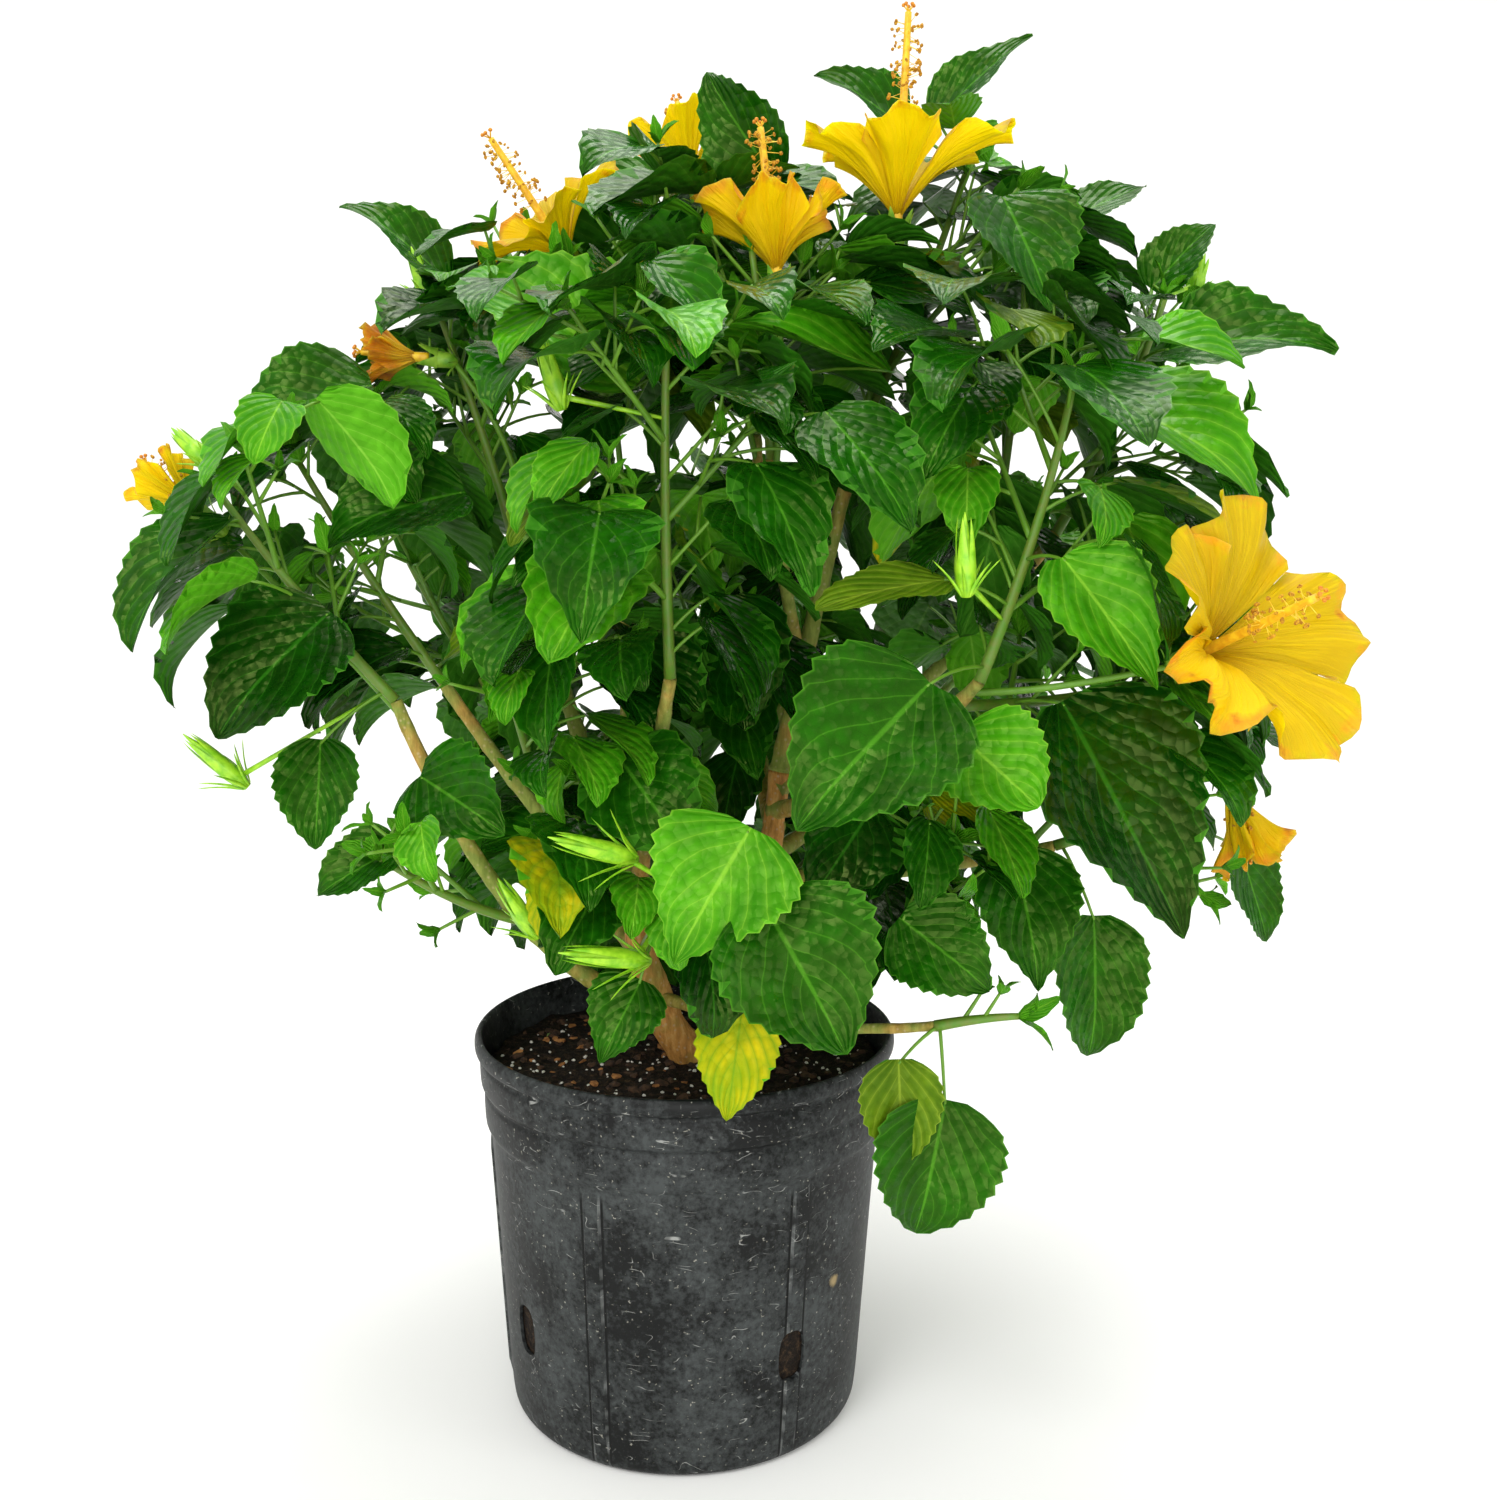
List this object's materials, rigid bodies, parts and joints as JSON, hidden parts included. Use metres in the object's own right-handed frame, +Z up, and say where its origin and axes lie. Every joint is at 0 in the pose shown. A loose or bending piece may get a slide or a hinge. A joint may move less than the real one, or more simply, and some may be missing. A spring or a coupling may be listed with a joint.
{
  "type": "potted hibiscus shrub",
  "caption": "Bushy hibiscus shrub with broad toothed green leaves and yellow flowers, growing from two stems in a round black nursery pot.",
  "frame": {"origin": "centre of the pot's flat underside", "axes": "+Z up the plant, -Y towards the front with the leafy side twig over the rim at the right, +X to the right of the front"},
  "size_m": [0.6949, 0.5652, 0.853],
  "materials": {
    "pot": "blow-moulded black polyethylene, dusty and scuffed",
    "soil": "dark potting mix with bark chips and white perlite",
    "bark": "tan-brown bark, finely ridged along the stem",
    "green_bark": "young bark, green going to tan",
    "foliage": "glossy quilted leaves on green twigs",
    "petals": "thin yellow petals with a soft sheen",
    "spent_petals": "wilted petals gone orange and papery"
  },
  "bodies": {
    "root": {"pot": "pot", "soil": "soil", "trunk": "bark", "second_stem": "bark", "bough_left_low": "green_bark", "bough_left_high": "green_bark", "bough_upper_left": "green_bark", "bough_upper_mid": "green_bark", "bough_centre": "green_bark", "bough_back_left": "green_bark", "bough_low_front": "green_bark", "bough_leader": "green_bark", "bough_right_front": "green_bark", "bough_right_high": "green_bark", "bough_right_low": "green_bark", "bough_back_right": "green_bark", "bough_back": "green_bark", "bough_top_front": "green_bark", "bough_back_top": "green_bark", "flower_top": "petals", "flower_middle": "petals", "flower_upper_left": "petals", "flower_back_top": "petals", "flower_right": "petals", "flower_right_low": "petals", "flower_left": "petals", "flower_spent": "spent_petals", "foliage_left_low": "foliage", "foliage_left_high": "foliage", "foliage_left_foot": "foliage", "foliage_front_left": "foliage", "foliage_upper_left": "foliage", "foliage_upper_mid": "foliage", "foliage_centre": "foliage", "foliage_front_low": "foliage", "foliage_heart": "foliage", "foliage_top_front": "foliage", "foliage_top": "foliage", "foliage_top_right": "foliage", "foliage_right_high": "foliage", "foliage_right_front": "foliage", "foliage_right": "foliage", "foliage_front_right": "foliage", "foliage_right_low": "foliage", "foliage_low_twig": "foliage", "foliage_back_left": "foliage", "foliage_back": "foliage", "foliage_back_right": "foliage", "foliage_back_top": "foliage", "foliage_back_low_left": "foliage", "foliage_back_low_right": "foliage"}
  },
  "joints": []
}
